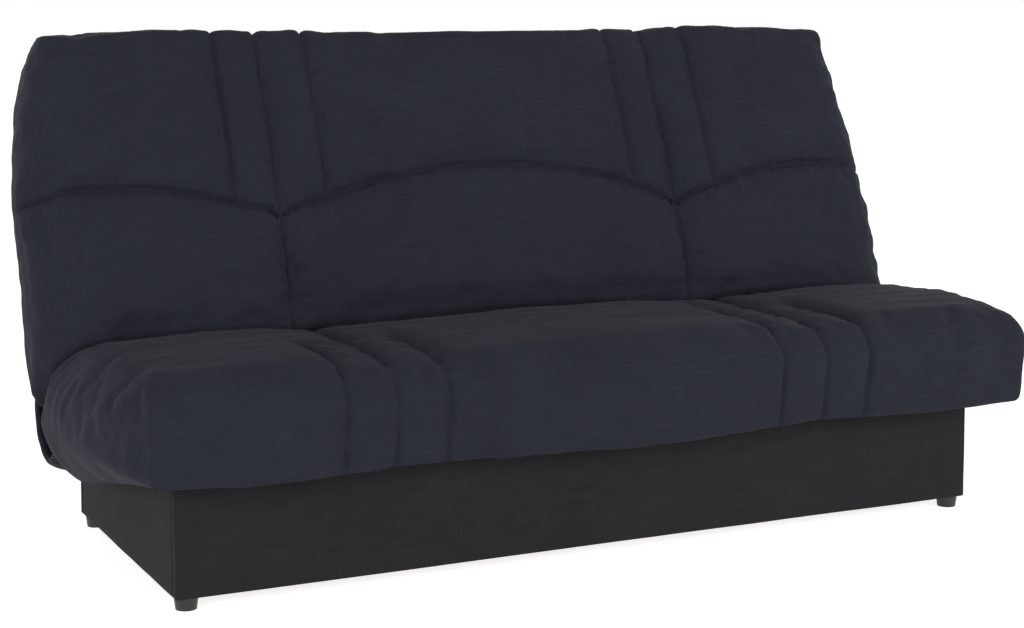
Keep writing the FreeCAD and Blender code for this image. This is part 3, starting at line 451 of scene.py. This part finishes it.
# Gathers beside a seam, as (radians a metre, height)
FINE_GATHER = (230, 0.0016)
BROAD_GATHER = (95, 0.0014)

# Heights of the cover's broad unevenness, its folds, the folds drawn to the ends and those of its walls
BROAD_HEIGHT, FOLD_HEIGHT, DRAWN_HEIGHT, WALL_HEIGHT = 0.0030, 0.0016, 0.0022, 0.0012

STITCH_STEP = 0.0115
STITCH_LENGTH = 0.0075
LONGEST_STITCH = 0.014
THREAD_RISE = 0.0007
# Along a stitch, as (place, half width)
THREAD_SHAPE = ((-0.0036, 0.0003), (-0.002, 0.0008), (0.002, 0.0008), (0.0036, 0.0003))


def stuffing(name, sources, voxel):
    """One closed skin round the CAD solids of a section."""
    build = bmesh.new()
    for source in sources:
        build.from_mesh(frame["nodes"][source].data)
    mesh = bpy.data.meshes.new(name)
    build.to_mesh(mesh)
    build.free()
    piece = remeshed(shown(name, mesh, COVER_CLOTH), voxel)
    ease = piece.modifiers.new("ease", "SMOOTH")
    ease.factor = 0.5
    ease.iterations = 6
    return settled(piece)


def bow_line(x, bows):
    """Height of the arched seam at x."""
    line = np.full(len(x), 10.0)
    for points in bows:
        xs = np.array([p[0] for p in points])
        us = np.array([p[1] for p in points])
        wide_bow = len(points) >= 7
        fit = np.polyfit(xs, us, 4 if wide_bow else 3)
        inside = (x >= xs[0] - 0.02) & (x <= xs[-1] + 0.02)
        line[inside] = np.minimum(line[inside], np.polyval(fit, x[inside]))
    return line


def sewn_lines(piece, angle, way, seams, bows):
    """Adds edges along each seam and a little to both sides, so that its channel is crisp."""
    mesh = piece.data
    flat = to_section(corners_of(mesh), angle, way)
    put_corners(mesh, flat)
    build = bmesh.new()
    build.from_mesh(mesh)

    def sliced(place, direction, keep):
        geometry = [f for f in build.faces if keep(f)]
        edges = {e for f in geometry for e in f.edges}
        spots = {v for f in geometry for v in f.verts}
        bmesh.ops.bisect_plane(build, geom=geometry + list(edges) + list(spots), dist=CUT_SNAP,
                               plane_co=place, plane_no=direction)

    def straightened(way_back):
        """Moves the arched seam to the line u = 0, or back."""
        bent = bow_line(np.array([v.co for v in build.verts])[:, 0], bows)
        for vert, rise in zip(build.verts, bent):
            vert.co.y += way_back * rise

    for x, low, _ in seams:
        for shift in SEAM_CUTS:
            sliced((x + shift, 0, 0), (1, 0, 0),
                   lambda f: abs(f.calc_center_median().x - x) < CUT_REACH
                   and f.calc_center_median().y > low - 0.02 and f.normal.z > -0.6)
    if bows:
        straightened(-1)
        for shift in SEAM_CUTS:
            sliced((0, shift, 0), (0, 1, 0),
                   lambda f: abs(f.calc_center_median().y) < CUT_REACH and f.normal.z > -0.2)
        straightened(1)
    build.to_mesh(mesh)
    build.free()
    put_corners(mesh, to_row(corners_of(mesh), angle, way))


def ramp(value, low, high):
    """From 0 at low to 1 at high, with soft ends."""
    part = np.clip((value - low) / (high - low), 0, 1)
    return part * part * (3 - 2 * part)


def seam_distance(flat, seams, bows):
    """Distance to the nearest seam, how far the point lies along it, and if it is the arched one."""
    best = np.full(len(flat), 1.0)
    along = np.zeros(len(flat))
    arched = np.zeros(len(flat), bool)
    for x, low, _ in seams:
        past = np.maximum(low - flat[:, 1], 0)
        away = np.hypot(flat[:, 0] - x, past)
        nearer = away < best
        best[nearer] = away[nearer]
        along[nearer] = flat[nearer, 1]
    if bows:
        line = bow_line(flat[:, 0], bows)
        slope = np.abs(bow_line(flat[:, 0] + 0.004, bows) - line) / 0.004
        away = np.abs(flat[:, 1] - line) / np.sqrt(1 + np.minimum(slope, 1.5) ** 2)
        nearer = (away < best) & (flat[:, 2] > 0.0)
        best[nearer] = away[nearer]
        along[nearer] = flat[nearer, 0]
        arched[nearer] = True
    return best, along, arched


def swell(piece, held_at):
    """Blows the padding up a little with cloth simulation, held where it is sewn.

    The simulation runs on a coarser copy, and the pad follows the copy's nearest corners.
    """
    copy = remeshed(linked(piece.name + "_coarse", piece.data.copy()), COARSE)
    start = corners_of(copy.data)
    sewn = copy.vertex_groups.new(name="sewn")
    sewn.add([int(i) for i in np.nonzero(held_at(start))[0]], 1.0, "REPLACE")
    cloth = copy.modifiers.new("swell", "CLOTH")
    settings = cloth.settings
    settings.vertex_group_mass = "sewn"
    settings.use_pressure = True
    settings.uniform_pressure_force = PRESSURE
    settings.effector_weights.gravity = 0
    settings.quality = 3
    settings.shrink_min = -0.015
    cloth.collision_settings.use_collision = False
    cloth.point_cache.frame_start = 1
    cloth.point_cache.frame_end = SIMULATED_FRAMES
    scene = bpy.context.scene
    for count in range(1, SIMULATED_FRAMES + 1):
        scene.frame_set(count)
    blown = copy.evaluated_get(bpy.context.evaluated_depsgraph_get()).to_mesh()
    moved = corners_of(blown) - start
    scene.frame_set(1)
    length = np.linalg.norm(moved, axis=1, keepdims=True)
    moved *= np.minimum(1, SWELL_CAP / np.maximum(length, 1e-9))
    near = KDTree(len(start))
    for index, place in enumerate(start):
        near.insert(place, index)
    near.balance()
    points = corners_of(piece.data)
    for index, place in enumerate(points.copy()):
        found = near.find_n(place, 6)
        weights = np.array([1 / (distance + 0.003) ** 2 for _, _, distance in found])
        points[index] += weights @ moved[[spot for _, spot, _ in found]] / weights.sum()
    put_corners(piece.data, points)
    mesh = copy.data
    bpy.data.objects.remove(copy)
    bpy.data.meshes.remove(mesh)


def quilted(piece, angle, way, seams, bows, seed):
    """Sewn channels with gathers beside them, and the folds of a loose cover."""
    mesh = piece.data
    points = corners_of(mesh)
    flat = to_section(points, angle, way)
    outward = normals_of(mesh)
    flat_normals = to_section(outward + HINGE, angle, way)
    away, along, along_arch = seam_distance(flat, seams, bows)
    top_side = ramp(flat_normals[:, 2] + 0.8 * np.maximum(flat_normals[:, 1], 0), -0.2, 0.35)
    narrow, wide = [np.where(along_arch, arch[0], upright[0]) * np.exp(-(away / arch[1]) ** 2)
                    for arch, upright in ((ARCH_LINE, UPRIGHT_LINE), (ARCH_HOLLOW, UPRIGHT_HOLLOW))]
    channel = -(narrow + wide)
    gather = field(seed, (9, 9, 9))(flat)
    waves, height = FINE_GATHER
    pucker = np.sin(along * waves + 3.0 * gather) * np.exp(-((away - 0.016) / 0.016) ** 2) * height
    waves, height = BROAD_GATHER
    pucker += np.sin(along * waves + 2.0 * gather) * np.exp(-(away / 0.06) ** 2) * height
    broad = field(seed + 1, (4.5, 6.0, 6.0))(flat) * BROAD_HEIGHT
    folds = field(seed + 2, (7.0, 34.0, 30.0))(flat) * FOLD_HEIGHT
    ends = ramp(np.abs(flat[:, 0]), 0.70, 0.95)
    near = 1 - ramp(flat[:, 1], 0.10, 0.34)
    slanted = flat.copy()
    slanted[:, 1] += 0.35 * slanted[:, 0] * np.sign(slanted[:, 0])
    drawn = field(seed + 3, (9.0, 46.0, 40.0))(slanted) * DRAWN_HEIGHT * np.maximum(ends, 0.8 * near)
    upright = field(seed + 4, (34.0, 9.0, 9.0))(flat) * WALL_HEIGHT
    walls = 1 - top_side
    lift = top_side * (channel + pucker + broad + folds + drawn) + walls * (broad + upright + 0.5 * drawn)
    free = ramp(away, 0.0, 0.03)
    lift += 0.0015 * free * top_side
    put_corners(mesh, points + outward * lift[:, None])


def stitches(name, mesh, angle, way, lines, body):
    """Short thread stitches that lie in the sewn channels."""
    tree = BVHTree.FromPolygons([v.co for v in mesh.vertices], [p.vertices for p in mesh.polygons])
    up = Vector((0, -math.sin(angle), math.cos(angle)))
    corners, faces = [], []
    for line in lines:
        line = np.array(line)
        run = np.concatenate(([0], np.cumsum(np.hypot(*np.diff(line, axis=0).T))))
        for place in np.arange(0.004, run[-1] - 0.006, STITCH_STEP):
            ends = []
            for spot in (place, place + STITCH_LENGTH):
                x, u = np.interp(spot, run, line[:, 0]), np.interp(spot, run, line[:, 1])
                start = Vector(to_row(np.array([[x, u, 0.30]]), angle, way)[0])
                hit = tree.ray_cast(start, -up, 0.4)[0]
                if hit is not None:
                    ends.append(hit)
            if len(ends) < 2 or (ends[1] - ends[0]).length > LONGEST_STITCH:
                continue
            middle = (ends[0] + ends[1]) / 2 + up * THREAD_RISE
            along = (ends[1] - ends[0]).normalized()
            side = along.cross(up).normalized()
            count = len(corners)
            for end, wide in THREAD_SHAPE:
                for a, b in ((1, 0), (0, 1), (-1, 0), (0, -1)):
                    corners.append(middle + along * end + side * a * wide + up * b * wide * 0.8)
            for ring in range(3):
                for k in range(4):
                    a, b = count + ring * 4 + k, count + ring * 4 + (k + 1) % 4
                    faces.append((a, b, b + 4, a + 4))
            faces.append(tuple(count + k for k in (3, 2, 1, 0)))
            faces.append(tuple(count + 12 + k for k in range(4)))
    piece = meshed(name, corners, faces, THREAD)
    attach(piece, body)


def seam_lines(seams, bows, top):
    """Every seam of a section as points (x, u)."""
    lines = []
    for x, low, high in seams:
        lines.append([(x, u) for u in np.linspace(low, min(high, top), 60)])
    for points in bows:
        xs = np.linspace(max(points[0][0], -0.93), min(points[-1][0], 0.93), 80)
        lines.append(list(zip(xs, bow_line(xs, [points]))))
    return lines


def padded_section(part, body, angle, way, reach, seams, bows, seed):
    """The quilted pad of a section, with its stitches."""
    solids = [part + end for end in ("_cushion", "_foam", "_border_end", "_border_left", "_border_right")]
    piece = stuffing(part + "_pad", solids, FINE)

    def held_at(points):
        flat = to_section(points, angle, way)
        away = seam_distance(flat, seams, bows)[0]
        return (away < COARSE * 0.6) | (flat[:, 2] < HELD_HEIGHT) | (flat[:, 1] < HELD_REACH)

    swell(piece, held_at)
    sewn_lines(piece, angle, way, seams, bows)
    quilted(piece, angle, way, seams, bows, seed)
    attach(piece, body)
    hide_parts(*[name for name in solids if not name.endswith("_foam")])
    stitches(part + "_stitches", piece.data, angle, way, seam_lines(seams, bows, reach - 0.06), body)


padded_section("seat", "seat_section", SEAT_ANGLE, -1, SEAT_REACH, SEAT_SEAMS, (), 11)
padded_section("back", "back_section", BACK_ANGLE, 1, BACK_REACH, BACK_SEAMS, ARCHES, 47)


# The folded strip between the sections, which on the sofa opens like a fan as the back goes down; here it is
# built as a fan at one opening

# The fold stands midway between the seat and the back
FOLD_LEAN = math.radians(180 - 2.3 - 55.1)
FOLD_GAP = 0.0106
FOLD_OPENING = math.radians(69.8)
FOLD_HALF_LENGTH = 0.955
FOLD_REACH = 0.132
FOLD_LONGEST = 0.158
FOLD_FOOT = 0.05

# The gussets: where they start and end along the sofa, their reach from the hinge line, and the
# degrees that they stop short of each section
GUSSET_INNER, GUSSET_OUTER = 0.893, 0.962
GUSSET_REACH, GUSSET_SWELL = 0.050, 0.052
GUSSET_MARGIN = 4
GUSSET_THICKNESS = 0.012
GUSSET_COLUMNS, GUSSET_RINGS = 40, 9


def fold_strip():
    """The strip between the sections, as a row of outlines along the sofa."""
    out = np.array((0, math.cos(FOLD_LEAN), math.sin(FOLD_LEAN)))
    across = np.array((0, -math.sin(FOLD_LEAN), math.cos(FOLD_LEAN)))
    leaves = np.linspace(-1, 1, 13)
    wobble = field(5, (26, 0, 0))
    loops = []
    for x in np.linspace(-FOLD_HALF_LENGTH, FOLD_HALF_LENGTH, 150):
        swollen = 0.006 * float(wobble(np.array([[x, 0, 0]]))[0])
        end = 1 - 0.35 * max(0.0, (abs(x) - 0.9) / 0.055) ** 2
        middle = HINGE + (x, 0, 0)
        upper = []
        for leaf in leaves:
            opened = abs(leaf) * FOLD_OPENING / 2
            reach = (FOLD_REACH * end + swollen) / math.cos(FOLD_OPENING / 2 - opened)
            reach = min(reach, FOLD_LONGEST * end)
            upper.append(middle + out * reach - across * leaf * FOLD_GAP)
        lower = [middle + out * FOLD_FOOT - across * leaf * FOLD_GAP for leaf in leaves[::-1]]
        loops.append(upper + lower)
    count = len(loops[0])
    points = [point for loop in loops for point in loop]
    faces = []
    for i in range(len(loops) - 1):
        for k in range(count):
            a, b = i * count + k, i * count + (k + 1) % count
            faces.append((a, b, b + count, a + count))
    faces.append(tuple(range(count))[::-1])
    faces.append(tuple(range(len(points) - count, len(points))))
    piece = meshed("fold_strip", points, faces, COVER_CLOTH)
    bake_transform(piece)
    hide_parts("mattress_fold", "fold_ends")


def fold_gusset(side, way):
    """Cover round the outside of the fold at one end of the sofa."""
    first = math.radians(180 - 2.3 + GUSSET_MARGIN)
    last = math.radians(360 + 67.5 - GUSSET_MARGIN)
    wobble = field(9, (0, 60, 60))
    points = []
    for ring in range(GUSSET_RINGS):
        part = ring / (GUSSET_RINGS - 1)
        x = way * (GUSSET_INNER + (GUSSET_OUTER - GUSSET_INNER) * part)
        full = math.sqrt(max(0.0, 1 - (part * 0.86) ** 2))
        for turn in np.linspace(first, last, GUSSET_COLUMNS):
            around = np.array((0, math.cos(turn), math.sin(turn)))
            reach = GUSSET_REACH + GUSSET_SWELL * full
            spot = HINGE + (x, 0, 0) + around * reach
            reach += 0.0035 * float(wobble(spot[None, :])[0])
            points.append(HINGE + (x, 0, 0) + around * reach)
    faces = []
    for ring in range(GUSSET_RINGS - 1):
        for column in range(GUSSET_COLUMNS - 1):
            a = ring * GUSSET_COLUMNS + column
            faces.append((a, a + 1, a + GUSSET_COLUMNS + 1, a + GUSSET_COLUMNS))
    piece = meshed("fold_gusset_" + side, points, faces, COVER_CLOTH)
    thick = piece.modifiers.new("cloth", "SOLIDIFY")
    thick.thickness = GUSSET_THICKNESS
    thick.offset = 1 if way > 0 else -1
    soft = piece.modifiers.new("soft", "SUBSURF")
    soft.levels = soft.render_levels = 1
    settled(piece).data.shade_smooth()
    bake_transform(piece)


fold_strip()
for side_name, side_way in (("left", -1), ("right", 1)):
    fold_gusset(side_name, side_way)


# Storage box: boards wrapped in cloth

BOARD_ROUND = 0.0045
BOARD_STEP = 0.03

def cloth_board(source):
    """A board of the box with its cloth drawn round it, a little uneven on its broad faces."""
    low, high = (np.array(corner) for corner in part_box(source))
    build = bmesh.new()
    bmesh.ops.create_cube(build, size=1.0)
    middle = (low + high) / 2
    for vert in build.verts:
        vert.co = Vector(middle + np.array(vert.co) * (high - low))
    bmesh.ops.bevel(build, geom=build.edges[:], offset=BOARD_ROUND, segments=3, profile=0.6, affect="EDGES")
    for axis in range(3):
        run = high[axis] - low[axis]
        steps = int(run / BOARD_STEP)
        for step in range(1, steps):
            place = [0, 0, 0]
            place[axis] = low[axis] + run * step / steps
            direction = [0, 0, 0]
            direction[axis] = 1
            bmesh.ops.bisect_plane(build, geom=build.verts[:] + build.edges[:] + build.faces[:],
                                   dist=1e-6, plane_co=place, plane_no=direction)
    mesh = bpy.data.meshes.new(source + "_cloth")
    build.to_mesh(mesh)
    build.free()
    points = corners_of(mesh)
    outward = normals_of(mesh)
    thin = int(np.argmin(high - low))
    rise = field(3, (7, 7, 9))(points) * 0.0007 + field(4, (24, 24, 30))(points) * 0.0003
    rise *= np.abs(outward[:, thin])
    put_corners(mesh, points + outward * rise[:, None])
    piece = shown(source + "_cloth", mesh, BOX_CLOTH)
    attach(piece, "base")
    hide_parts(source)


for source in ("base_front_panel", "base_rear_panel", "base_end_panel_left", "base_end_panel_right"):
    cloth_board(source)


# Springs: closely wound wire with an eye at each end

WIRE_RADIUS = 0.0011
EYE_RADIUS = 0.0052
SPRING_TURNS = 84
TURN_STEPS = 12
EYE_STEPS = 17

def wound_spring(source):
    low, high = (np.array(corner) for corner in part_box(source))
    middle = (low + high) / 2
    radius = (high[2] - low[2]) / 2 - WIRE_RADIUS
    start, end = low[1] + 4 * EYE_RADIUS, high[1] - 4 * EYE_RADIUS

    def eye(tip, way):
        """An eye of wire that starts from the tip of the spring, open towards its middle."""
        turns = [math.pi * 2 * step / EYE_STEPS + 0.4 for step in range(EYE_STEPS)]
        return [(middle[0], tip + way * (EYE_RADIUS + WIRE_RADIUS) - way * EYE_RADIUS * math.cos(turn),
                 middle[2] + EYE_RADIUS * math.sin(turn)) for turn in turns]

    def neck(place):
        return (middle[0] + 0.3 * radius, place, middle[2] + 0.3 * radius)

    path = eye(low[1], 1) + [neck(start - 0.003)]
    for step in range(SPRING_TURNS * TURN_STEPS + 1):
        turn = math.pi * 2 * step / TURN_STEPS
        path.append((middle[0] + radius * math.cos(turn),
                     start + (end - start) * step / (SPRING_TURNS * TURN_STEPS),
                     middle[2] + radius * math.sin(turn)))
    path += [neck(end + 0.003)] + eye(high[1], -1)
    line = bpy.data.curves.new(source + "_wire", "CURVE")
    line.dimensions = "3D"
    line.bevel_depth = WIRE_RADIUS
    line.bevel_resolution = 1
    line.use_fill_caps = True
    spline = line.splines.new("POLY")
    spline.points.add(len(path) - 1)
    for point, place in zip(spline.points, path):
        point.co = (*place, 1)
    drawn = linked(source + "_wire", line)
    bpy.context.view_layer.update()
    mesh = bpy.data.meshes.new_from_object(drawn.evaluated_get(bpy.context.evaluated_depsgraph_get()))
    bpy.data.objects.remove(drawn)
    piece = shown(source + "_coils", mesh, FINISHES["bare_steel"])
    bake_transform(piece)
    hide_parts(source)


for side_name in ("left", "right"):
    wound_spring("tension_spring_" + side_name)


# Floor, light and camera

# Glow of the floor and of the world as the camera and reflections see them, beside the real light
FLOOR_GLOW = 0.78
WORLD_LIGHT = 0.34
WORLD_GLOW = 0.66
# Name, place, size and power of each lamp
LAMPS = (("key", (-4.2, -3.2, 1.5), (3.0, 2.0), 80), ("fill", (2.6, -4.0, 1.3), (2.6, 1.8), 66))
LAMP_AIM = (0, 0, 0.45)

CAMERA_PLACE = (-1.8393, -3.7158, 1.0772)
CAMERA_YAW, CAMERA_PITCH = 0.4503, 0.0855
CAMERA_LENS = 70.96
CAMERA_SHIFT = (0.0057, -0.142)


def seen_glow(tree, strength):
    """A strength for camera and reflected rays only, so that nothing is lit by it."""
    path = node(tree, "ShaderNodeLightPath")
    seen = math_node(tree, "MAXIMUM", path.outputs["Is Camera Ray"], path.outputs["Is Glossy Ray"])
    return math_node(tree, "MULTIPLY", seen, strength)

def studio():
    material, tree, shader, _ = finish("studio_floor", 0.9)
    shader.inputs["Base Color"].default_value = (0.92, 0.92, 0.92, 1)
    shader.inputs["Emission Color"].default_value = (1, 1, 1, 1)
    tree.links.new(seen_glow(tree, FLOOR_GLOW), shader.inputs["Emission Strength"])
    build = bmesh.new()
    bmesh.ops.create_grid(build, x_segments=1, y_segments=1, size=40)
    mesh = bpy.data.meshes.new("floor")
    build.to_mesh(mesh)
    build.free()
    floor = shown("floor", mesh, material)
    world = bpy.data.worlds.new("studio")
    bpy.context.scene.world = world
    world.use_nodes = True
    tree = world.node_tree
    background = tree.nodes["Background"]
    background.inputs["Color"].default_value = (1, 1, 1, 1)
    tree.links.new(math_node(tree, "ADD", seen_glow(tree, WORLD_GLOW), WORLD_LIGHT),
                   background.inputs["Strength"])


def lamp(name, place, size, power):
    light = bpy.data.lights.new(name, "AREA")
    light.shape = "RECTANGLE"
    light.size, light.size_y = size
    light.energy = power
    holder = linked(name, light)
    holder.location = place
    holder.rotation_euler = (Vector(LAMP_AIM) - Vector(place)).to_track_quat("-Z", "Y").to_euler()


def camera():
    lens = bpy.data.cameras.new("camera")
    lens.lens = CAMERA_LENS
    lens.sensor_width = 36
    lens.shift_x, lens.shift_y = CAMERA_SHIFT
    holder = linked("camera", lens)
    level = math.cos(CAMERA_PITCH)
    forward = Vector((math.sin(CAMERA_YAW) * level, math.cos(CAMERA_YAW) * level, -math.sin(CAMERA_PITCH)))
    right = Vector((math.cos(CAMERA_YAW), -math.sin(CAMERA_YAW), 0))
    turn = Matrix((right, right.cross(forward), -forward)).transposed()
    holder.matrix_world = Matrix.Translation(CAMERA_PLACE) @ turn.to_4x4()
    bpy.context.scene.camera = holder


studio()
for settings in LAMPS:
    lamp(*settings)
camera()
bpy.context.scene.view_settings.view_transform = "Standard"
